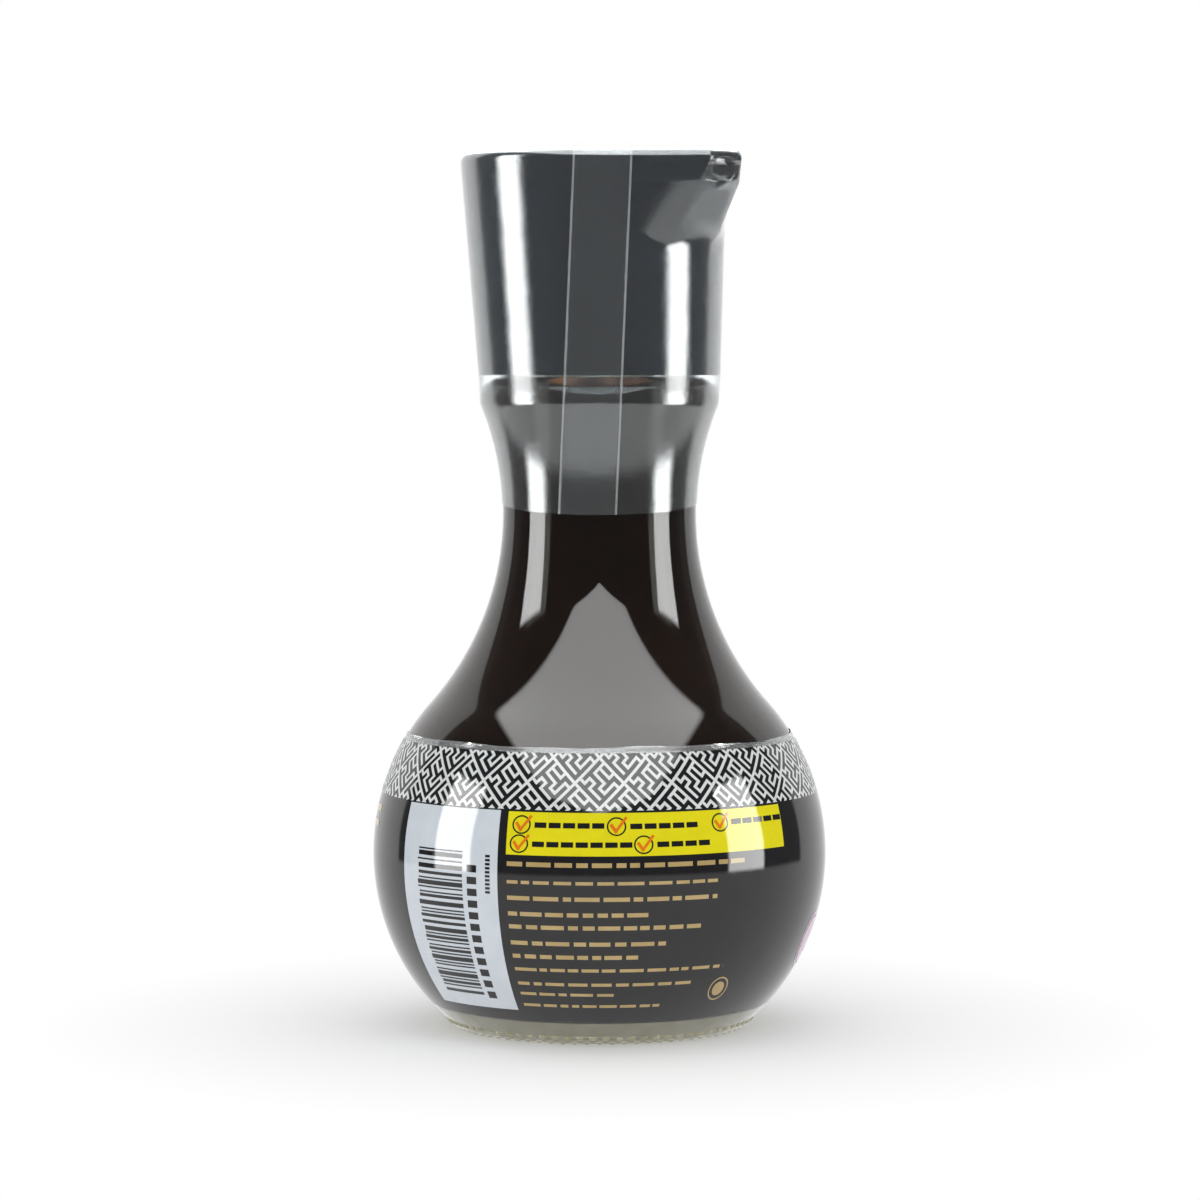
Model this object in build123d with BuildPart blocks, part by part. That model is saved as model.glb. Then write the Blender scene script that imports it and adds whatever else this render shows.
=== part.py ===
"""A filled glass table bottle of soy sauce with a pouring cap, in millimetres, +Z up.

The origin is at the centre of the base, on the surface that the bottle stands on. The pieces are
the glass, the sauce in it, the plastic cap, the printed sleeve round the belly, and the clear
shrink band that seals the cap to the neck.
"""

from build123d import *
from math import acos, atan2, cos, degrees, hypot, radians, sin, sqrt
import os

# Glass: a ball-shaped belly, one sweep up to the waist of the neck, a flare, a ring and the mouth
belly_radius = 33.83
belly_height = 26.0
waist_radius = 14.45
waist_height = 77.0
ring_radius = 17.75
ring_height = 93.9
ring_round = 3.3
mouth_height = 112.0
mouth_edge = 0.9
belly_wall = 2.2
neck_wall = 2.3
base_thickness = 4.4
base_corner = 3.5
foot_inner_radius = 18.5
foot_edge = 1.0
push_up = 1.7

# Sauce
fill_height = 96.3
fill_clearance = 0.04

# Cap: a leaning cone that seats on the ring, with a beak on one side
cap_seat_gap = 0.2
cap_base_radius = 17.95
cap_top_radius = 19.8
cap_top_height = 130.3
cap_lean = 1.25
cap_edge = 1.3
cap_bore_clearance = 0.15
beak_direction = 48.0
beak_foot_drop = 14.4
beak_flank_drop = 11.8
beak_knee_drop = 4.8
beak_reach = 25.2
beak_knee_reach = 23.4
beak_tip_width = 5.8
beak_knee_width = 8.4
beak_foot_width = 9.4
beak_foot_inset = 0.4
beak_root_inset = 0.05
beak_bulge_turn = 8.0
spout_width = 4.6
spout_height = 3.7
spout_roof = 0.9
spout_depth = 5.0

# Printed sleeve on the belly
sleeve_bottom = 4.0
sleeve_top = 44.0
sleeve_thickness = 0.12

# Clear band over the cap and the neck
band_bottom = 78.4
band_tilt = 5.5
band_thickness = 0.12
band_fold = 2.6

# Clearance between a film and what it wraps
film_clearance = 0.03

# The ring's section is a circle, and the cap's lower edge lies just above it
ring_centre_radius = ring_radius - ring_round
ring_top = ring_height + ring_round
cap_base_height = ring_top + cap_seat_gap
cap_bore_radius = ring_centre_radius + cap_bore_clearance
mouth_bore_radius = waist_radius - neck_wall


def polar(radius, angle):
    """A point in a level section, from its radius and its angle from the beak in degrees."""
    return radius * cos(radians(angle)), radius * sin(radians(angle))


def touch_point(centre, radius, other_centre):
    """Where a circle meets another one that touches it from outside."""
    run, rise = other_centre[0] - centre[0], other_centre[1] - centre[1]
    length = hypot(run, rise)
    return centre[0] + radius * run / length, centre[1] + radius * rise / length


def shoulder_touch(ball, waist):
    """Where the belly's ball meets the sweep that stands upright at the waist."""
    rise = waist_height - belly_height
    sweep = (waist**2 + rise**2 - ball**2) / (2 * (ball - waist))
    return touch_point((0, belly_height), ball, (waist + sweep, waist_height))


def flare_touch(waist, ring_section):
    """Where the flare above the waist meets the ring's round section."""
    step = waist - ring_centre_radius
    rise = ring_height - waist_height
    flare = (step**2 + rise**2 - ring_section**2) / (2 * (ring_section - step))
    return touch_point((ring_centre_radius, ring_height), ring_section, (waist + flare, waist_height))


def glass_form(grow):
    """The outside of the glass up to the ring's widest line, grown by a film's thickness."""
    ball, waist = belly_radius + grow, waist_radius + grow
    foot = sqrt(ball**2 - belly_height**2)
    with BuildSketch(Plane.XZ) as outline:
        with BuildLine():
            belly = ThreePointArc((foot, 0), (ball, belly_height), shoulder_touch(ball, waist))
            sweep = TangentArc(belly @ 1, (waist, waist_height), tangent=belly % 1)
            flare = TangentArc(sweep @ 1, flare_touch(waist, ring_round + grow), tangent=sweep % 1)
            ring = TangentArc(flare @ 1, (ring_radius + grow, ring_height), tangent=flare % 1)
            Polyline(ring @ 1, (0, ring_height), (0, 0), belly @ 0)
        make_face()
    return outline.sketch


def cavity_form(gap, top):
    """The inside of the glass up to a height, drawn in from the wall by a gap."""
    ball, neck = belly_radius - belly_wall - gap, mouth_bore_radius - gap
    floor = base_thickness + gap
    floor_radius = sqrt(ball**2 - (belly_height - floor) ** 2)
    with BuildSketch(Plane.XZ) as outline:
        with BuildLine():
            belly = ThreePointArc((floor_radius, floor), (ball, belly_height), shoulder_touch(ball, neck))
            sweep = TangentArc(belly @ 1, (neck, waist_height), tangent=belly % 1)
            Polyline(sweep @ 1, (neck, top), (0, top), (0, floor), belly @ 0)
        make_face()
        fillet(outline.vertices().group_by(Axis.Z)[0].sort_by(Axis.X)[-1], base_corner)
    return outline.sketch


def level(height):
    """A level plane whose x runs towards the beak."""
    turn = radians(beak_direction)
    return Plane(origin=(0, 0, height), x_dir=(sin(turn), -cos(turn), 0), z_dir=(0, 0, 1))


def cone_section(drop):
    """The cone's centre, along the beak's direction, and its radius at a depth under the cap's top."""
    share = drop / (cap_top_height - cap_base_height)
    return (share - 1) * cap_lean, cap_top_radius + share * (cap_base_radius - cap_top_radius)


def flank_start(centre, radius, reach, half_width):
    """The angle at which a straight flank from the beak's corner touches the cone's circle."""
    run = reach - centre
    return degrees(atan2(half_width, run) + acos(radius / hypot(run, half_width)))


beak_turn = flank_start(-cap_lean, cap_top_radius, beak_reach, beak_tip_width / 2)


def beak_sketch(grow, drop, reach, width, straight):
    """A level section of the beak at a depth under the cap's top, closed behind inside the cone."""
    centre, radius = cone_section(drop)
    rise = grow if drop == 0 else 0
    corner = Vector(reach + grow, width / 2 + grow)
    root = Vector(centre, 0) + Vector(*polar(radius + grow - beak_root_inset, beak_turn))
    bulge = Vector(centre, 0) + Vector(*polar(radius + grow, beak_turn / 2 + beak_bulge_turn))
    with BuildSketch(level(cap_top_height - drop + rise)) as outline:
        with BuildLine() as half:
            if straight:
                Line(root, corner)
            else:
                ThreePointArc(root, bulge, corner)
            Polyline(root, (root.X / 2, root.Y / 2), (root.X / 2, 0))
            Line(corner, (corner.X, 0))
            mirror(half.line, about=Plane.XZ)
        make_face()
    return outline.sketch


def cap_form(grow):
    """The cap's outside with its beak, grown by a film's thickness."""
    foot_centre, foot_radius = cone_section(beak_foot_drop)
    foot_reach = foot_centre + sqrt(foot_radius**2 - (beak_foot_width / 2) ** 2)
    flank_share = (beak_foot_drop - beak_flank_drop) / (beak_foot_drop - beak_knee_drop)
    flank_reach = foot_reach + flank_share * (beak_knee_reach - foot_reach)
    flank_width = beak_foot_width + flank_share * (beak_knee_width - beak_foot_width)
    beak_sections = [
        beak_sketch(grow - beak_foot_inset, beak_foot_drop, foot_reach, beak_foot_width, False),
        beak_sketch(grow, beak_flank_drop, flank_reach, flank_width, False),
        beak_sketch(grow, beak_knee_drop, beak_knee_reach, beak_knee_width, True),
        beak_sketch(grow, 0, beak_reach, beak_tip_width, True),
    ]
    with BuildPart() as form:
        with BuildSketch(level(cap_base_height)):
            Circle(cap_base_radius + grow)
        with BuildSketch(level(cap_top_height + grow)):
            with Locations((-cap_lean, 0)):
                Circle(cap_top_radius + grow)
        loft()
        loft(beak_sections, ruled=True)
        fillet(form.faces().sort_by(Axis.Z)[-1].edges(), cap_edge + grow)
    return form.part


def neck_form(grow):
    """What the band wraps below the cap: the neck and ring, and a straight run up to the cap."""
    with BuildPart() as form:
        revolve(glass_form(grow), Axis.Z)
        with BuildSketch(Plane.XZ):
            Polygon(
                (0, ring_height),
                (ring_radius + grow, ring_height),
                (cap_base_radius + grow, cap_base_height),
                (0, cap_base_height),
                align=None,
            )
        revolve(axis=Axis.Z)
    return form.part


with BuildPart() as bottle:
    revolve(glass_form(0), Axis.Z)
    with BuildSketch(Plane.XZ):
        with BuildLine():
            ring = ThreePointArc(
                (ring_radius, ring_height),
                (ring_centre_radius + ring_round / sqrt(2), ring_height + ring_round / sqrt(2)),
                (ring_centre_radius, ring_top),
            )
            mouth = Line(ring @ 1, (ring_centre_radius, mouth_height))
            Polyline(mouth @ 1, (0, mouth_height), (0, ring_height), ring @ 0)
        make_face()
    revolve(axis=Axis.Z)
    revolve(cavity_form(0, mouth_height), Axis.Z, mode=Mode.SUBTRACT)
    with BuildSketch(Plane.XZ):
        with BuildLine():
            dish = ThreePointArc((-foot_inner_radius, 0), (0, push_up), (foot_inner_radius, 0))
            Line(dish @ 1, dish @ 0)
        make_face()
        split(bisect_by=Plane.YZ)
    revolve(axis=Axis.Z, mode=Mode.SUBTRACT)
    base_circles = bottle.edges().filter_by(GeomType.CIRCLE).group_by(Axis.Z)[0]
    fillet(base_circles.sort_by(SortBy.RADIUS)[-1], foot_edge)
    fillet(bottle.faces().sort_by(Axis.Z)[-1].edges(), mouth_edge)

with BuildPart() as sauce:
    revolve(cavity_form(fill_clearance, fill_height), Axis.Z)

# The pouring mouth is a blind pocket in the beak's front, under a thin roof
spout_floor = level(cap_top_height - spout_roof - spout_height).from_local_coords(
    Vector(beak_knee_reach - spout_depth, 0, 0)
)
spout_plane = Plane(origin=spout_floor, x_dir=level(0).y_dir, z_dir=level(0).x_dir)

with BuildPart() as cap:
    add(cap_form(0))
    with BuildSketch(Plane.XY.offset(cap_base_height)):
        Circle(cap_bore_radius)
    extrude(amount=mouth_height + cap_seat_gap - cap_base_height, mode=Mode.SUBTRACT)
    with BuildSketch(spout_plane):
        with Locations((0, spout_width / 2)):
            Circle(spout_width / 2)
            Rectangle(spout_width, spout_height - spout_width / 2, align=(Align.CENTER, Align.MIN))
    extrude(amount=beak_reach, mode=Mode.SUBTRACT)

with BuildPart() as sleeve:
    revolve(glass_form(film_clearance + sleeve_thickness), Axis.Z)
    revolve(glass_form(film_clearance), Axis.Z, mode=Mode.SUBTRACT)
    split(bisect_by=Plane.XY.offset(sleeve_bottom), keep=Keep.TOP)
    split(bisect_by=Plane.XY.offset(sleeve_top), keep=Keep.BOTTOM)

with BuildPart() as shrink_band:
    add(cap_form(film_clearance + band_thickness))
    add(neck_form(film_clearance + band_thickness))
    add(cap_form(film_clearance), mode=Mode.SUBTRACT)
    add(neck_form(film_clearance), mode=Mode.SUBTRACT)
    split(bisect_by=Plane.XY.offset(band_bottom).rotated((band_tilt, 0, 0)), keep=Keep.TOP)
    with BuildSketch(level(cap_top_height)):
        with Locations((-cap_lean, 0)):
            Circle(cap_top_radius - cap_edge - band_fold)
    extrude(amount=band_fold, mode=Mode.SUBTRACT)

os.makedirs("parts", exist_ok=True)
for name, piece in (
    ("bottle", bottle),
    ("sauce", sauce),
    ("cap", cap),
    ("sleeve", sleeve),
    ("shrink_band", shrink_band),
):
    piece.part.label = name
    export_step(piece.part, f"parts/{name}.step")
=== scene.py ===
"""The looks of a table bottle of soy sauce: glass, sauce, cap, printed sleeve and clear shrink band.

Sizes are in millimetres in the row's frame and become metres where a mesh is made.
"""

from math import acos, asin, atan2, cos, degrees, hypot, pi, radians, sin, sqrt
import random

import bmesh
import bpy
from mathutils import Matrix, Vector


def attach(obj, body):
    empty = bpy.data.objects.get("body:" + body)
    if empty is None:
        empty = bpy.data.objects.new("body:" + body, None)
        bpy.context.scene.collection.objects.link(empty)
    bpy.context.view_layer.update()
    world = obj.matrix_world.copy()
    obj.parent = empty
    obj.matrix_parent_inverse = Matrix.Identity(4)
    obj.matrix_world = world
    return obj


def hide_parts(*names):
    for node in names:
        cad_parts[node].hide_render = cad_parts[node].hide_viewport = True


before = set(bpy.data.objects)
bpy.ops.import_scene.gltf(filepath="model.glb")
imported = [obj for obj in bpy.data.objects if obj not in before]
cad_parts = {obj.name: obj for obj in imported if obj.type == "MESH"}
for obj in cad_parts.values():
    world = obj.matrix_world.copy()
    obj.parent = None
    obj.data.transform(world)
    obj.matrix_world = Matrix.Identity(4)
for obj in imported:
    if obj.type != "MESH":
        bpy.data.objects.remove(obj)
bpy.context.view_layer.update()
MM = 0.001

# Glass
BELLY_RADIUS, BELLY_HEIGHT = 33.83, 26.0
WAIST_RADIUS, WAIST_HEIGHT = 14.45, 77.0
RING_RADIUS, RING_HEIGHT, RING_ROUND = 17.75, 93.9, 3.3
MOUTH_HEIGHT, MOUTH_EDGE = 112.0, 0.8
BELLY_WALL, NECK_WALL = 2.2, 2.3
BASE_THICKNESS, BASE_CORNER = 4.4, 1.2
FOOT_INNER_RADIUS, PUSH_UP, DISH_RADIUS = 18.5, 1.7, 101.5
BUMP_COUNT, BUMP_SIZE = 76, 0.55
BUMP_ROWS = ((21.75, 0.44), (22.75, 1.2))
HEEL_HEIGHT, HEEL_INNER = 3.6, 19.0

# Sauce: how far it reaches into the wall, and the depth of its amber surface layer, partly the thin sauce's
# own colour and partly painted light shining through it
FILL_HEIGHT = 96.3
BITE = 0.05
RIM_DEPTH, RIM_CURVE = 1.6, 0.9

# Sleeve
SLEEVE_BOTTOM, SLEEVE_TOP = 4.0, 44.0
FILM_GAP, FILM = 0.03, 0.12
BAND_LOW, BAND_HIGH = 35.4, 43.3

# Clear band: the overlap strip's sides at SLICE_HEIGHT, its lean, and the width of the hazier lines along its
# edges that are painted highlights
STRIP_LEFT, STRIP_RIGHT = -4.4, 4.1
SLICE_HEIGHT, SLICE_LEAN = 115, 4
EDGE_HIGHLIGHT_WIDTH = 0.3
CAP_ROOM = 0.03

# Steps round a full turn, and the angle in degrees past which an edge stays sharp
AROUND = 160
GLASS_SHARP, FILM_SHARP, MOULDED_SHARP = 50, 60, 28

RING_CENTRE = RING_RADIUS - RING_ROUND
SLEEVE_RADIUS = BELLY_RADIUS + FILM_GAP + FILM


# ---------- meshes ----------

def new_piece(name, bm, material, sharp):
    """Makes a bmesh in millimetres a finished piece in metres, with sharp edges past an angle."""
    bmesh.ops.scale(bm, vec=(MM, MM, MM), verts=bm.verts)
    mesh = bpy.data.meshes.new(name)
    bm.to_mesh(mesh)
    bm.free()
    mesh.materials.append(material)
    piece = bpy.data.objects.new(name, mesh)
    bpy.context.scene.collection.objects.link(piece)
    mesh.shade_smooth()
    if sharp:
        mesh.set_sharp_from_angle(angle=radians(sharp))
    return piece


def arc(centre, radius, start, end, steps):
    """Points on an arc from one angle to another, in degrees."""
    turns = [radians(start + (end - start) * i / steps) for i in range(steps + 1)]
    return [(centre[0] + radius * cos(t), centre[1] + radius * sin(t)) for t in turns]


def vessel_curve(ball, waist, start_height):
    """The belly's ball and the sweep up to the waist, as points of a section."""
    rise = WAIST_HEIGHT - BELLY_HEIGHT
    sweep = (waist**2 + rise**2 - ball**2) / (2 * (ball - waist))
    lean = degrees(atan2(rise, waist + sweep))
    low = degrees(asin((start_height - BELLY_HEIGHT) / ball))
    belly = arc((0, BELLY_HEIGHT), ball, low, lean, 56)
    neck = arc((waist + sweep, WAIST_HEIGHT), sweep, 180 + lean, 180, 30)
    return belly + neck[1:]


def flare_curve(waist, ring_section):
    """The flare from the waist to the ring's round section."""
    step, rise = waist - RING_CENTRE, RING_HEIGHT - WAIST_HEIGHT
    flare = (step**2 + rise**2 - ring_section**2) / (2 * (ring_section - step))
    lean = degrees(atan2(rise, step + flare))
    curve = arc((waist + flare, WAIST_HEIGHT), flare, 180, 180 - lean, 18)
    return curve, -lean


def spin(points, closed=False):
    """A full turn of a section about the upright axis."""
    bm = bmesh.new()
    verts = [bm.verts.new((r, 0, z)) for r, z in points]
    pairs = list(zip(verts, verts[1:]))
    if closed:
        pairs.append((verts[-1], verts[0]))
    edges = [bm.edges.new(pair) for pair in pairs]
    bmesh.ops.spin(bm, geom=verts + edges, cent=(0, 0, 0), axis=(0, 0, 1), angle=2 * pi,
                   steps=AROUND, use_merge=True)
    bmesh.ops.remove_doubles(bm, verts=bm.verts, dist=1e-4)
    bmesh.ops.recalc_face_normals(bm, faces=bm.faces)
    return bm


def cad_copy(node):
    """A merged copy of a CAD node's mesh, in millimetres."""
    bm = bmesh.new()
    bm.from_mesh(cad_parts[node].data)
    bmesh.ops.scale(bm, vec=(1 / MM, 1 / MM, 1 / MM), verts=bm.verts)
    bmesh.ops.remove_doubles(bm, verts=bm.verts, dist=1e-4)
    bmesh.ops.recalc_face_normals(bm, faces=bm.faces)
    bm.normal_update()
    return bm


def push(bm, amount):
    """Moves every point along its normal."""
    bm.normal_update()
    for vert in bm.verts:
        vert.co += vert.normal * amount


# ---------- materials ----------

class Recipe:
    """A node material under construction."""

    def __init__(self, name):
        self.material = bpy.data.materials.new(name)
        self.material.use_nodes = True
        self.tree = self.material.node_tree
        self.shader = self.tree.nodes["Principled BSDF"]
        self.place = self.node("ShaderNodeTexCoord").outputs["Object"]

    def node(self, kind, **values):
        """A new node with its settings."""
        made = self.tree.nodes.new(kind)
        for key, value in values.items():
            setattr(made, key, value)
        return made

    def link(self, source, target):
        self.tree.links.new(source, target)

    def set(self, **values):
        """Constants on the shader's own sockets, with underscores for the spaces in their names."""
        for key, value in values.items():
            self.shader.inputs[key.replace("_", " ")].default_value = value

    def noise(self, scale, detail=2.0, rough=0.5):
        """A noise from 0 to 1 through the piece."""
        made = self.node("ShaderNodeTexNoise")
        self.link(self.place, made.inputs["Vector"])
        made.inputs["Scale"].default_value = scale
        made.inputs["Detail"].default_value = detail
        made.inputs["Roughness"].default_value = rough
        return made.outputs["Fac"]

    def ramp(self, fac, low, high, low_value, high_value):
        """A value carried from one range to another, and held at its ends."""
        made = self.node("ShaderNodeMapRange", clamp=True)
        self.link(fac, made.inputs["Value"])
        made.inputs["From Min"].default_value = low
        made.inputs["From Max"].default_value = high
        made.inputs["To Min"].default_value = low_value
        made.inputs["To Max"].default_value = high_value
        return made.outputs["Result"]

    def mix(self, fac, low, high):
        """A colour between two."""
        made = self.node("ShaderNodeMix", data_type="RGBA")
        self.link(fac, made.inputs["Factor"])
        made.inputs["A"].default_value = (*low, 1)
        made.inputs["B"].default_value = (*high, 1)
        return made.outputs["Result"]

    def bump(self, height, distance, strength):
        """Relief on the surface."""
        made = self.node("ShaderNodeBump")
        made.inputs["Strength"].default_value = strength
        made.inputs["Distance"].default_value = distance
        self.link(height, made.inputs["Height"])
        self.link(made.outputs["Normal"], self.shader.inputs["Normal"])


def glass_material():
    """Clear glass, a little green, with a faint waviness."""
    recipe = Recipe("clear_glass")
    recipe.set(Base_Color=(0.93, 0.96, 0.88, 1), Roughness=0.0, IOR=1.5, Transmission_Weight=1.0)
    recipe.bump(recipe.noise(90, 1.0), 0.00002, 0.25)
    return recipe.material


def heel_material():
    """The thick stippled glass of the foot, which scatters a little pale light."""
    recipe = Recipe("stippled_glass")
    shade = recipe.ramp(recipe.noise(400, 2), 0.35, 0.65, 0, 1)
    recipe.link(recipe.mix(shade, (0.78, 0.76, 0.52), (0.93, 0.91, 0.70)),
                recipe.shader.inputs["Base Color"])
    recipe.set(Roughness=0.08, IOR=1.5, Transmission_Weight=0.72)
    recipe.bump(recipe.noise(700, 2), 0.0001, 0.4)
    return recipe.material


def sauce_material():
    """Sauce so deep that it reads as brown-black."""
    recipe = Recipe("dark_sauce")
    shade = recipe.ramp(recipe.noise(60), 0.3, 0.7, 0, 1)
    recipe.link(recipe.mix(shade, (0.006, 0.0022, 0.001), (0.011, 0.004, 0.002)),
                recipe.shader.inputs["Base Color"])
    recipe.set(Roughness=0.05, Specular_IOR_Level=0.08)
    return recipe.material


def rim_backlight_material():
    """Thin sauce at the surface: its own amber, brightened in patches by painted light shining through it."""
    recipe = Recipe("sauce_rim_backlight")
    # Painted light: the amber, brighter in noisy patches, stands in for light shining through the thin sauce
    # at its surface
    shade = recipe.ramp(recipe.noise(220, 3), 0.38, 0.62, 0, 1)
    recipe.link(recipe.mix(shade, (0.16, 0.03, 0.012), (0.55, 0.20, 0.07)),
                recipe.shader.inputs["Base Color"])
    recipe.set(Roughness=0.1)
    return recipe.material


def cap_material():
    """Glossy blue-black moulded plastic."""
    recipe = Recipe("black_moulded_plastic")
    shade = recipe.ramp(recipe.noise(40, 3), 0.3, 0.7, 0, 1)
    recipe.link(recipe.mix(shade, (0.010, 0.015, 0.021), (0.015, 0.021, 0.029)),
                recipe.shader.inputs["Base Color"])
    rough = recipe.ramp(recipe.noise(900, 2), 0.35, 0.75, 0.03, 0.08)
    recipe.link(rough, recipe.shader.inputs["Roughness"])
    recipe.bump(recipe.noise(160, 2), 0.00003, 0.25)
    return recipe.material


def film_material(name, dust, clear):
    """Clear shrink film: a slight haze, fine dust and shallow ripples."""
    recipe = Recipe(name)
    recipe.set(Base_Color=(0.93, 0.96, 0.97, 1), IOR=1.5, Transmission_Weight=clear)
    grain = recipe.ramp(recipe.noise(2600, 4, 0.7), 0.56, 0.72, 0.015, dust)
    recipe.link(grain, recipe.shader.inputs["Roughness"])
    recipe.bump(recipe.noise(1500, 4, 0.7), 0.00004, 0.5)
    return recipe.material


def ink_material(name, colour, deep):
    """Printed film: one ink with a little unevenness under a clear gloss."""
    recipe = Recipe(name)
    shade = recipe.ramp(recipe.noise(300, 3), 0.3, 0.7, 0, 1)
    recipe.link(recipe.mix(shade, deep, colour), recipe.shader.inputs["Base Color"])
    rough = recipe.ramp(recipe.noise(1200, 2), 0.4, 0.75, 0.03, 0.09)
    recipe.link(rough, recipe.shader.inputs["Roughness"])
    recipe.bump(recipe.noise(55, 2), 0.00012, 0.25)
    return recipe.material


# ---------- bottle, sauce and cap ----------

def cavity_curve(bite, corner_rise):
    """The space inside, from the middle of its floor to the waist, grown into the wall by a bite."""
    inner = vessel_curve(BELLY_RADIUS - BELLY_WALL + bite, WAIST_RADIUS - NECK_WALL + bite,
                         BASE_THICKNESS + BASE_CORNER)
    side = inner[0][0]
    floor = [(0, BASE_THICKNESS - bite), (side - 4, BASE_THICKNESS - bite),
             (side - 1.4, BASE_THICKNESS + corner_rise)]
    return floor + inner


def make_bottle():
    """The glass: foot, belly, neck, ring and straight finish, and the same again inside."""
    outer = vessel_curve(BELLY_RADIUS, WAIST_RADIUS, 1.0)
    flare, lean = flare_curve(WAIST_RADIUS, RING_ROUND)
    ring = arc((RING_CENTRE, RING_HEIGHT), RING_ROUND, lean, 90, 22)
    foot_radius = outer[0][0]
    dish_end = degrees(acos(FOOT_INNER_RADIUS / DISH_RADIUS))
    dish = arc((0, PUSH_UP - DISH_RADIUS), DISH_RADIUS, 90, dish_end, 12)
    foot = [(FOOT_INNER_RADIUS + 0.6, 0.0), (foot_radius - 1.6, 0.0), (foot_radius - 0.5, 0.35)]
    mouth = [(RING_CENTRE, MOUTH_HEIGHT - MOUTH_EDGE), (RING_CENTRE - MOUTH_EDGE, MOUTH_HEIGHT),
             (WAIST_RADIUS - NECK_WALL + 0.5, MOUTH_HEIGHT)]
    cavity = cavity_curve(0, 0.3) + [(WAIST_RADIUS - NECK_WALL, MOUTH_HEIGHT - 0.5)]
    section = dish + foot + outer + flare[1:] + ring[1:] + mouth + cavity[::-1]
    body = new_piece("glass_body", spin(section), glass_material(), GLASS_SHARP)
    body.data.materials.append(heel_material())
    for face in body.data.polygons:
        low = face.center.z < HEEL_HEIGHT * MM
        if low and hypot(face.center.x, face.center.y) > HEEL_INNER * MM:
            face.material_index = 1
    return body


def make_knurl():
    """The ring of small bumps that the glass stands on."""
    bm = bmesh.new()
    for row, (radius, height) in enumerate(BUMP_ROWS):
        for i in range(BUMP_COUNT):
            turn = 2 * pi * (i + 0.5 * row) / BUMP_COUNT
            place = Matrix.Translation((radius * cos(turn), radius * sin(turn), height))
            shape = Matrix.Rotation(turn, 4, "Z") @ Matrix.Diagonal((1.0, 1.25, 0.75, 1))
            bmesh.ops.create_icosphere(bm, subdivisions=2, radius=BUMP_SIZE, matrix=place @ shape)
    return new_piece("glass_knurl", bm, heel_material(), None)


def make_sauce():
    """The sauce up to just under its level, and its amber surface layer with a raised rim, where light shining
    through thin sauce is painted.
    """
    rim_radius = WAIST_RADIUS - NECK_WALL + BITE
    below = FILL_HEIGHT - RIM_DEPTH
    low = spin(cavity_curve(BITE, 0.25) + [(rim_radius, below), (0, below)])
    under = below - 0.02
    rim = spin([(0, under), (rim_radius, under), (rim_radius, FILL_HEIGHT),
                (rim_radius - RIM_CURVE, FILL_HEIGHT - 0.35), (0, FILL_HEIGHT - 0.4)])
    return (new_piece("sauce_fill", low, sauce_material(), GLASS_SHARP),
            new_piece("sauce_surface", rim, rim_backlight_material(), GLASS_SHARP))


def make_cap():
    """The cap with its beak, drawn in a little so that it stays clear of the film."""
    bm = cad_copy("cap")
    push(bm, -CAP_ROOM)
    return new_piece("pouring_cap", bm, cap_material(), MOULDED_SHARP)


def make_band():
    """The clear film over the cap and the neck."""
    film = film_material("clear_film", 0.12, 0.985)
    return new_piece("clear_band", cad_copy("shrink_band"), film, MOULDED_SHARP)


def band_slice(left, right, lift):
    """A slanting strip of the band's front, lifted off the film below."""
    bm = cad_copy("shrink_band")
    slant = radians(SLICE_LEAN)
    lean = Vector((cos(slant), 0, -0.6 * sin(slant))).normalized()
    cuts = (((left, 0, SLICE_HEIGHT), lean), ((right, 0, SLICE_HEIGHT), -lean), ((0, -4, 0), (0, -1, 0)))
    for place, side in cuts:
        geom = bm.verts[:] + bm.edges[:] + bm.faces[:]
        bmesh.ops.bisect_plane(bm, geom=geom, plane_co=place, plane_no=side, clear_inner=True)
    bmesh.ops.holes_fill(bm, edges=[edge for edge in bm.edges if edge.is_boundary], sides=0)
    bmesh.ops.recalc_face_normals(bm, faces=bm.faces)
    for vert in bm.verts:
        vert.co += Vector((vert.co.x, vert.co.y, 0)).normalized() * lift
    return bm


def make_overlap():
    """The strip where the band's two ends lie over each other, and along its two edges hazier film as painted
    highlights.
    """
    strip = band_slice(STRIP_LEFT, STRIP_RIGHT, 0.16)
    # Painted highlight: the two edge slices are whiter, less clear film that stands in for light catching the
    # overlap's edges
    left = band_slice(STRIP_LEFT - 0.02, STRIP_LEFT - 0.02 + EDGE_HIGHLIGHT_WIDTH, 0.2)
    right = band_slice(STRIP_RIGHT + 0.02 - EDGE_HIGHLIGHT_WIDTH, STRIP_RIGHT + 0.02, 0.2)
    painted_highlight_film = film_material("painted_highlight_film", 0.2, 0.8)
    strip_film = film_material("overlap_film", 0.25, 0.98)
    return (new_piece("band_overlap", strip, strip_film, MOULDED_SHARP),
            new_piece("overlap_edge_highlight_left", left, painted_highlight_film, MOULDED_SHARP),
            new_piece("overlap_edge_highlight_right", right, painted_highlight_film, MOULDED_SHARP))


def belly_film(radius, thickness, bottom, top, steps):
    """A film round the belly between two heights."""
    low = degrees(asin((bottom - BELLY_HEIGHT) / radius))
    high = degrees(asin((top - BELLY_HEIGHT) / radius))
    outer = arc((0, BELLY_HEIGHT), radius, low, high, steps)
    inner = arc((0, BELLY_HEIGHT), radius - thickness, low, high, steps)
    return spin(outer + inner[::-1], closed=True)


def make_sleeve():
    """The black film that carries the print."""
    bm = belly_film(SLEEVE_RADIUS, FILM, SLEEVE_BOTTOM, BAND_HIGH, 60)
    ink = ink_material("black_ink", (0.014, 0.014, 0.016), (0.01, 0.01, 0.011))
    return new_piece("black_sleeve", bm, ink, FILM_SHARP)


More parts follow.
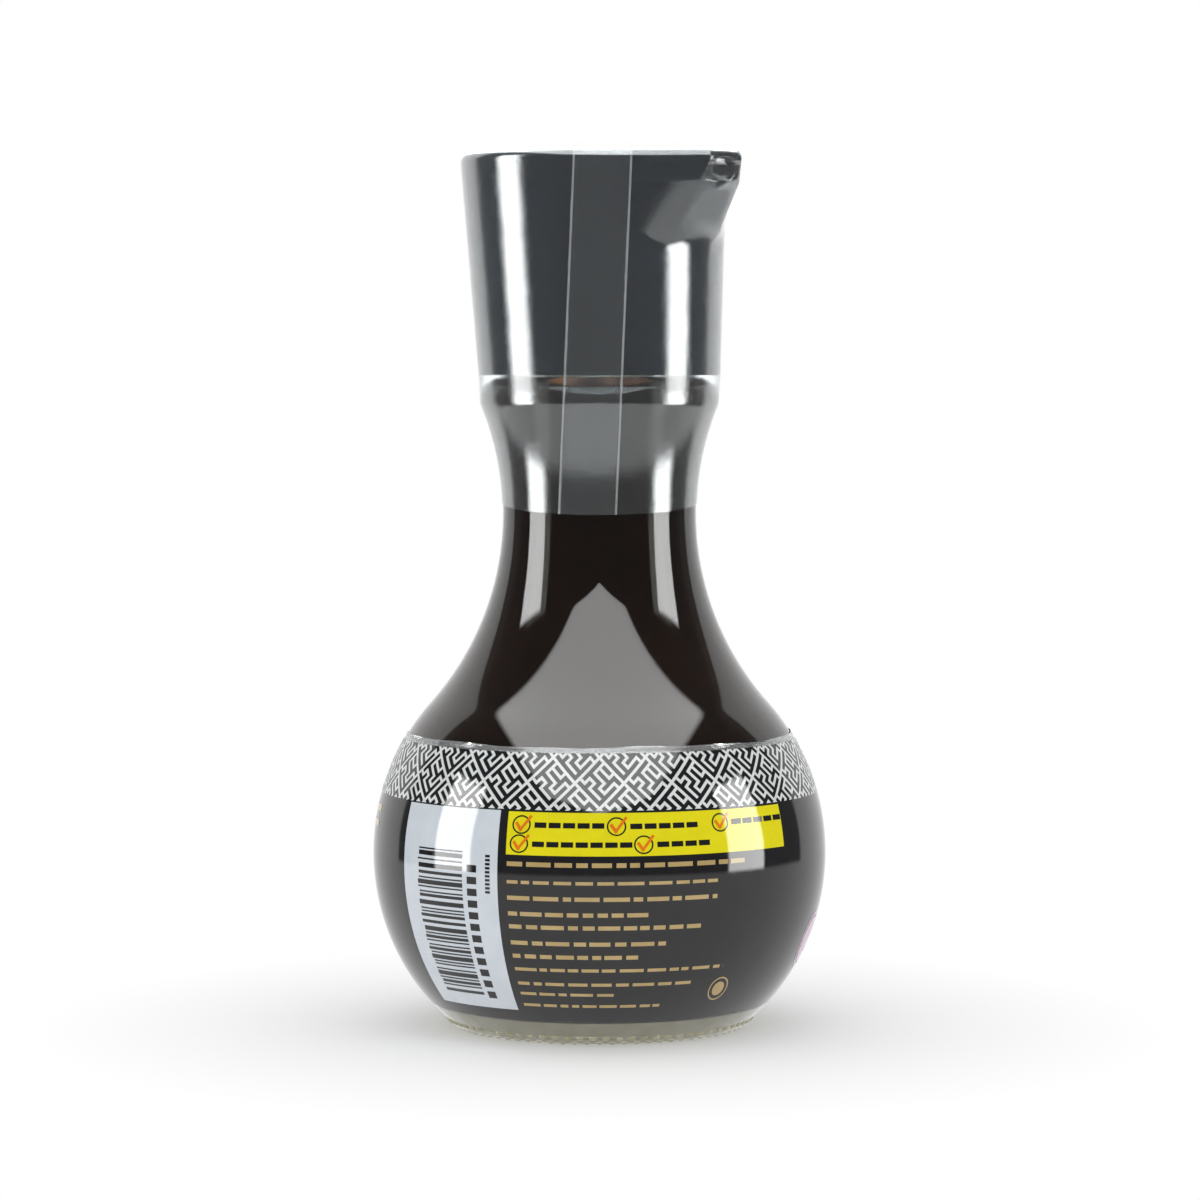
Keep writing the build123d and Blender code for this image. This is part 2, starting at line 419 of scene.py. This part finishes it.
def make_margin():
    """The sleeve's clear upper edge, wavy where it was cut."""
    radius = SLEEVE_RADIUS - 0.005
    bm = belly_film(radius, FILM - 0.01, BAND_HIGH - 0.1, SLEEVE_TOP + 0.1, 4)
    for vert in bm.verts:
        if vert.co.z > BAND_HIGH + 0.3:
            turn = atan2(vert.co.x, vert.co.y)
            vert.co.z += 0.10 * sin(5 * turn) + 0.07 * sin(13 * turn + 1)
            out = sqrt(radius**2 - (vert.co.z - BELLY_HEIGHT)**2) + 0.02
            inset = FILM if hypot(vert.co.x, vert.co.y) < out - 0.12 else 0
            vert.co.x, vert.co.y = Vector((vert.co.x, vert.co.y)).normalized() * (out - inset)
    return new_piece("sleeve_margin", bm, film_material("margin_film", 0.2, 0.9), FILM_SHARP)


# ---------- print on the sleeve ----------

# Width of one degree of turn where the print is drawn
DEGREE = 0.55


class Print:
    """Flat shapes of one ink, drawn by azimuth in degrees and height, then wrapped round the belly."""

    def __init__(self, name, material, lift):
        self.name, self.material, self.lift = name, material, lift
        self.bm = bmesh.new()

    def patch(self, turn_low, turn_high, low, high):
        """A rectangle, split finely enough to follow the ball."""
        wide = max(1, round(abs(turn_high - turn_low) / 1.5))
        tall = max(1, round(abs(high - low) / 1.0))
        made = bmesh.ops.create_grid(self.bm, x_segments=wide, y_segments=tall, size=0.5)
        middle = Vector(((turn_low + turn_high) / 2, (low + high) / 2, 0))
        spread = Matrix.Diagonal((turn_high - turn_low, high - low, 1, 1))
        bmesh.ops.transform(self.bm, matrix=Matrix.Translation(middle) @ spread, verts=made["verts"])

    def line(self, start, end, width):
        """A straight stroke between two points, in azimuth degrees and height."""
        run, rise = (end[0] - start[0]) * DEGREE, end[1] - start[1]
        length = hypot(run, rise)
        steps = max(1, round(length / 1.2))
        made = bmesh.ops.create_grid(self.bm, x_segments=steps, y_segments=1, size=0.5)
        middle = Vector(((start[0] + end[0]) / 2 * DEGREE, (start[1] + end[1]) / 2, 0))
        turn = Matrix.Rotation(atan2(rise, run), 4, "Z")
        spread = Matrix.Diagonal((length + width, width, 1, 1))
        back = Matrix.Diagonal((1 / DEGREE, 1, 1, 1))
        place = back @ Matrix.Translation(middle) @ turn @ spread
        bmesh.ops.transform(self.bm, matrix=place, verts=made["verts"])

    def ring(self, turn, height, radius, width, steps=28):
        """A round line."""
        for i in range(steps):
            a, b = 2 * pi * i / steps, 2 * pi * (i + 1) / steps
            self.line((turn + radius * cos(a) / DEGREE, height + radius * sin(a)),
                      (turn + radius * cos(b) / DEGREE, height + radius * sin(b)), width)

    def disc(self, turn, height, radius):
        """A filled round, laid as rings one inside the other so that it follows the ball."""
        rings = max(1, round(radius / 0.6))
        for i in range(rings):
            self.ring(turn, height, radius * (i + 0.5) / rings, 1.15 * radius / rings)

    def cut(self, low, high):
        """Keeps only what lies between two heights."""
        for height, up in ((low, -1), (high, 1)):
            geom = self.bm.verts[:] + self.bm.edges[:] + self.bm.faces[:]
            bmesh.ops.bisect_plane(self.bm, geom=geom, plane_co=(0, height, 0), plane_no=(0, up, 0),
                                   clear_outer=True)

    def finish(self):
        """Wraps the flat drawing round the belly, facing out."""
        radius = SLEEVE_RADIUS + self.lift
        middle = Vector((0, 0, BELLY_HEIGHT))
        for vert in self.bm.verts:
            turn = radians(vert.co.x)
            rise = (vert.co.y - BELLY_HEIGHT) / radius
            level = sqrt(1 - rise * rise) * radius
            vert.co = Vector((level * sin(turn), -level * cos(turn), BELLY_HEIGHT + rise * radius))
        self.bm.normal_update()
        for face in self.bm.faces:
            if face.normal.dot(face.calc_center_median() - middle) < 0:
                face.normal_flip()
        return new_piece(self.name, self.bm, self.material, None)


FRET_CELLS = 28
# One cell of the key fret on a grid of steps along the two slanting directions, as strokes
FRET = (
    ((0, 0), (10, 0)), ((0, 0), (0, 10)),
    ((2, 2), (2, 6)), ((2, 6), (4, 6)), ((4, 6), (4, 8)), ((2, 8), (4, 8)), ((2, 8), (2, 10)),
    ((4, 2), (8, 2)), ((4, 2), (4, 4)), ((4, 4), (6, 4)), ((6, 4), (6, 8)), ((8, 2), (8, 0)),
    ((8, 4), (8, 8)), ((6, 8), (10, 8)), ((8, 4), (10, 4)),
)


def make_fret():
    """A white key fret on the slant, round the top of the sleeve."""
    white = ink_material("white_ink", (0.78, 0.81, 0.80), (0.68, 0.71, 0.71))
    ink = Print("fret_band", white, 0.02)
    cell_turn = 360 / FRET_CELLS
    step_turn = cell_turn / 20
    half = cell_turn * DEGREE / 20
    low = BAND_LOW + 0.25
    for i in range(FRET_CELLS):
        for row in range(-1, 3):
            for shift in (0, 1):
                turn = (i + shift / 2) * cell_turn
                base = low + (2 * row + shift) * 10 * half
                for (a, b), (c, d) in FRET:
                    start = (turn + (a - b) * step_turn, base + (a + b) * half)
                    end = (turn + (c - d) * step_turn, base + (c + d) * half)
                    if max(start[1], end[1]) > BAND_LOW and min(start[1], end[1]) < BAND_HIGH:
                        ink.line(start, end, 0.42)
    ink.cut(BAND_LOW, BAND_HIGH)
    return ink.finish()


def make_panels():
    """The white panel under the bars and the yellow strip."""
    pale = ink_material("panel_ink", (0.66, 0.71, 0.76), (0.60, 0.65, 0.70))
    white = Print("white_panel", pale, 0.022)
    white.patch(-57, -25.5, 5.6, 35.2)
    bright = ink_material("yellow_ink", (0.83, 0.75, 0.01), (0.76, 0.68, 0.008))
    yellow = Print("yellow_strip", bright, 0.022)
    yellow.patch(-23.3, 52.4, 29.0, 35.1)
    return [white.finish(), yellow.finish()]


# Ring places on the yellow strip, and how many plain dashes follow each
STRIP_ROWS = ((-19.6, 33.3, 5), (4.2, 33.2, 5), (31.4, 33.3, 5), (-20.0, 30.6, 7), (10.8, 30.6, 4))


def make_bars():
    """Plain bars, two columns of dashes beside them, and rings and dashes on the yellow strip."""
    random.seed(7)
    dark = ink_material("stroke_ink", (0.012, 0.012, 0.014), (0.009, 0.009, 0.01))
    ink = Print("dark_strokes", dark, 0.04)
    height = 7.6
    while height < 29.2:
        thick = random.choice((0.22, 0.22, 0.44, 0.66))
        ink.patch(-51 + random.choice((0, 0, 0.4)), -35.6, height, height + thick)
        height += thick + random.choice((0.22, 0.24, 0.44, 0.5))
    for i in range(12):
        low = 7.2 + i * 1.72
        ink.patch(-34.2, -31.4, low, low + 1.05)
    for i in range(10):
        low = 23.2 + i * 0.58
        ink.patch(-28.9, -27.6, low, low + 0.36)
    for turn, height, groups in STRIP_ROWS:
        ink.ring(turn, height, 1.22, 0.2)
        for i in range(groups):
            start = turn + 3.4 + i * 3.6
            ink.patch(start, start + 3.0, height - 0.38, height + 0.38)
    return ink.finish()


def make_ticks():
    """A tick through each ring."""
    orange = ink_material("orange_ink", (0.85, 0.21, 0.01), (0.78, 0.17, 0.01))
    ink = Print("orange_ticks", orange, 0.055)
    for turn, height, _ in STRIP_ROWS:
        ink.line((turn - 1.2, height + 0.15), (turn - 0.2, height - 0.7), 0.42)
        ink.line((turn - 0.2, height - 0.7), (turn + 2.3, height + 1.15), 0.36)
    return ink.finish()


# Rows of fine gold dashes: height, where each ends and how tall it stands
GOLD_ROWS = ((27.7, 38, 1.5), (25.1, 30, 1.1), (22.8, 30, 1.4), (20.5, 12, 1.4), (18.6, 26, 1.4),
             (16.2, 17, 1.4), (14.2, 10, 1.4), (12.2, 35, 1.1), (10.0, 26, 1.1), (8.4, 4, 1.0), (6.6, 18, 1.0))
GOLD_START = -23.0


def make_gold():
    """Rows of plain dashes, a small ringed dot and two dashes at the far left."""
    random.seed(11)
    gold = ink_material("gold_ink", (0.52, 0.38, 0.17), (0.43, 0.31, 0.13))
    ink = Print("gold_dashes", gold, 0.03)
    for height, end, tall in GOLD_ROWS:
        turn = GOLD_START
        while turn < end:
            long = min(random.uniform(2.0, 6.5), end - turn)
            ink.patch(turn, turn + long, height - tall * 0.22, height + tall * 0.22)
            turn += long + random.uniform(0.7, 1.2)
    ink.ring(36, 8.6, 1.7, 0.22)
    ink.disc(36, 8.6, 1.0)
    for height in (31.0, 33.2):
        ink.patch(-88, -77, height - 0.5, height + 0.5)
    return ink.finish()


def make_pink():
    """A plain lilac disc in a ring, round the right side."""
    pink = ink_material("pink_ink", (0.62, 0.40, 0.56), (0.55, 0.34, 0.50))
    ink = Print("pink_disc", pink, 0.026)
    ink.ring(78, 13.6, 4.0, 0.5, 60)
    ink.disc(78, 13.6, 3.4)
    return ink.finish()


# ---------- studio ----------

def make_floor():
    """The table the bottle stands on."""
    bm = bmesh.new()
    bmesh.ops.create_circle(bm, cap_ends=True, segments=96, radius=6000)
    floor = new_piece("table", bm, floor_material(), None)


def floor_material():
    """White table: it keeps the shadow near the foot, and the lights show in it only far off."""
    recipe = Recipe("white_table")
    length = recipe.node("ShaderNodeVectorMath", operation="LENGTH")
    recipe.link(recipe.place, length.inputs[0])
    far = recipe.ramp(length.outputs["Value"], 0.024, 0.085, 0.25, 1.0)
    edge = recipe.ramp(length.outputs["Value"], 0.24, 0.30, 0.0, 1.0)
    recipe.set(Base_Color=(0.93, 0.93, 0.93, 1), Roughness=0.9, Specular_IOR_Level=0.0)
    white = recipe.node("ShaderNodeEmission")
    seen = recipe.node("ShaderNodeMixShader")
    recipe.link(far, seen.inputs[0])
    recipe.link(recipe.shader.outputs[0], seen.inputs[1])
    recipe.link(white.outputs[0], seen.inputs[2])
    mirrored = recipe.node("ShaderNodeEmission")
    beyond = recipe.node("ShaderNodeBsdfTransparent")
    table = recipe.node("ShaderNodeMixShader")
    recipe.link(edge, table.inputs[0])
    recipe.link(mirrored.outputs[0], table.inputs[1])
    recipe.link(beyond.outputs[0], table.inputs[2])
    path = recipe.node("ShaderNodeLightPath")
    through = recipe.node("ShaderNodeMixShader")
    recipe.link(path.outputs["Is Transmission Ray"], through.inputs[0])
    recipe.link(seen.outputs[0], through.inputs[1])
    recipe.link(white.outputs[0], through.inputs[2])
    pick = recipe.node("ShaderNodeMixShader")
    recipe.link(path.outputs["Is Glossy Ray"], pick.inputs[0])
    recipe.link(through.outputs[0], pick.inputs[1])
    recipe.link(table.outputs[0], pick.inputs[2])
    recipe.link(pick.outputs[0], recipe.tree.nodes["Material Output"].inputs["Surface"])
    return recipe.material


class Sky:
    """Small helpers for the world's node tree."""

    def __init__(self, tree):
        self.tree = tree

    def math(self, operation, *values):
        """One operation on numbers or sockets."""
        made = self.tree.nodes.new("ShaderNodeMath")
        made.operation = operation
        for socket, value in zip(made.inputs, values):
            if isinstance(value, (int, float)):
                socket.default_value = value
            else:
                self.tree.links.new(value, socket)
        return made.outputs[0]

    def step(self, value, low, high):
        """0 below low and 1 above high, with a smooth edge."""
        made = self.tree.nodes.new("ShaderNodeMapRange")
        made.interpolation_type = "SMOOTHSTEP"
        self.tree.links.new(value, made.inputs["Value"])
        made.inputs["From Min"].default_value = low
        made.inputs["From Max"].default_value = high
        return made.outputs["Result"]

    def fall(self, value, low, high):
        """1 below low and 0 above high, with a smooth edge."""
        return self.math("SUBTRACT", 1.0, self.step(value, low, high))


# Strengths of the room as gloss shows it, and of the even light on the bottle
DARK_LEVEL, BACK_LEVEL, SIDE_LEVEL, CARD_LEVEL = 0.14, 0.9, 9.5, 4.6
PLAIN_LEVEL = 0.9


def make_world():
    """A white room behind, a light at each side, a card above the front and dark elsewhere."""
    world = bpy.data.worlds.new("studio")
    bpy.context.scene.world = world
    world.use_nodes = True
    tree = world.node_tree
    sky = Sky(tree)
    place = tree.nodes.new("ShaderNodeTexCoord").outputs["Generated"]
    split = tree.nodes.new("ShaderNodeSeparateXYZ")
    tree.links.new(place, split.inputs[0])
    x, y, z = split.outputs
    ahead = sky.math("MULTIPLY", y, -1.0)
    side = sky.math("MULTIPLY", sky.math("ARCTAN2", x, ahead), 180 / pi)
    turn = sky.math("ABSOLUTE", side)
    rise = sky.math("MULTIPLY", sky.math("ARCSINE", z), 180 / pi)
    back = sky.step(turn, 121, 124)
    strip = sky.math("MULTIPLY", sky.step(turn, 67, 69), sky.fall(turn, 90, 92))
    strip = sky.math("MULTIPLY", strip, sky.fall(rise, 27, 30))
    strip = sky.math("MULTIPLY", strip, sky.step(rise, -24, -20))
    height = sky.math("MAXIMUM", z, 0.02)
    across = sky.math("DIVIDE", sky.math("ABSOLUTE", x), height)
    front = sky.math("DIVIDE", ahead, height)
    reach = sky.math("SUBTRACT", sky.math("SUBTRACT", 2.3, sky.math("MULTIPLY", across, 1.1)), front)
    card = sky.math("MULTIPLY", sky.step(reach, -0.04, 0.08), sky.fall(across, 0.74, 0.82))
    glow = sky.math("ADD", DARK_LEVEL, sky.math("MULTIPLY", back, BACK_LEVEL))
    glow = sky.math("ADD", glow, sky.math("MULTIPLY", strip, SIDE_LEVEL))
    glow = sky.math("ADD", glow, sky.math("MULTIPLY", card, CARD_LEVEL))
    path = tree.nodes.new("ShaderNodeLightPath")
    mirrored = path.outputs["Is Glossy Ray"]
    seen = sky.math("MAXIMUM", path.outputs["Is Camera Ray"], path.outputs["Is Transmission Ray"])
    plain = sky.math("ADD", PLAIN_LEVEL, sky.math("MULTIPLY", seen, 1 - PLAIN_LEVEL))
    unmirrored = sky.math("MULTIPLY", sky.math("SUBTRACT", 1.0, mirrored), plain)
    strength = sky.math("ADD", sky.math("MULTIPLY", mirrored, glow), unmirrored)
    background = tree.nodes["Background"]
    background.inputs["Color"].default_value = (1, 1, 1, 1)
    tree.links.new(strength, background.inputs["Strength"])


def make_camera():
    """A long lens, level with the cap's lower edge and aimed a little down."""
    distance, height, aim_height, half_view, aside = 626.0, 97.5, 63.75, 90.0, 0.075
    camera = bpy.data.cameras.new("camera")
    camera.sensor_width = 36
    camera.lens = 18 * hypot(distance, height - aim_height) / half_view
    camera.clip_start = 0.01
    eye = bpy.data.objects.new("camera", camera)
    bpy.context.scene.collection.objects.link(eye)
    start = Vector((aside, -distance, height)) * MM
    aim = Vector((aside, 0, aim_height)) * MM
    eye.location = start
    eye.rotation_euler = (aim - start).to_track_quat("-Z", "Y").to_euler()
    bpy.context.scene.camera = eye


def keep(piece, node):
    """Puts a piece on the bottle's one body, in place of a CAD node if one is named."""
    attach(piece, "root")
    if node:
        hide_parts(node)


make_camera()
make_world()
make_floor()
bpy.context.scene.view_settings.view_transform = "Standard"

keep(make_bottle(), "bottle")
keep(make_knurl(), None)
fill, surface = make_sauce()
keep(fill, "sauce")
keep(surface, None)
keep(make_cap(), "cap")
keep(make_band(), "shrink_band")
for piece in make_overlap():
    keep(piece, None)
keep(make_sleeve(), "sleeve")
keep(make_margin(), None)
for piece in (make_fret(), *make_panels(), make_bars(), make_ticks(), make_gold(), make_pink()):
    keep(piece, None)
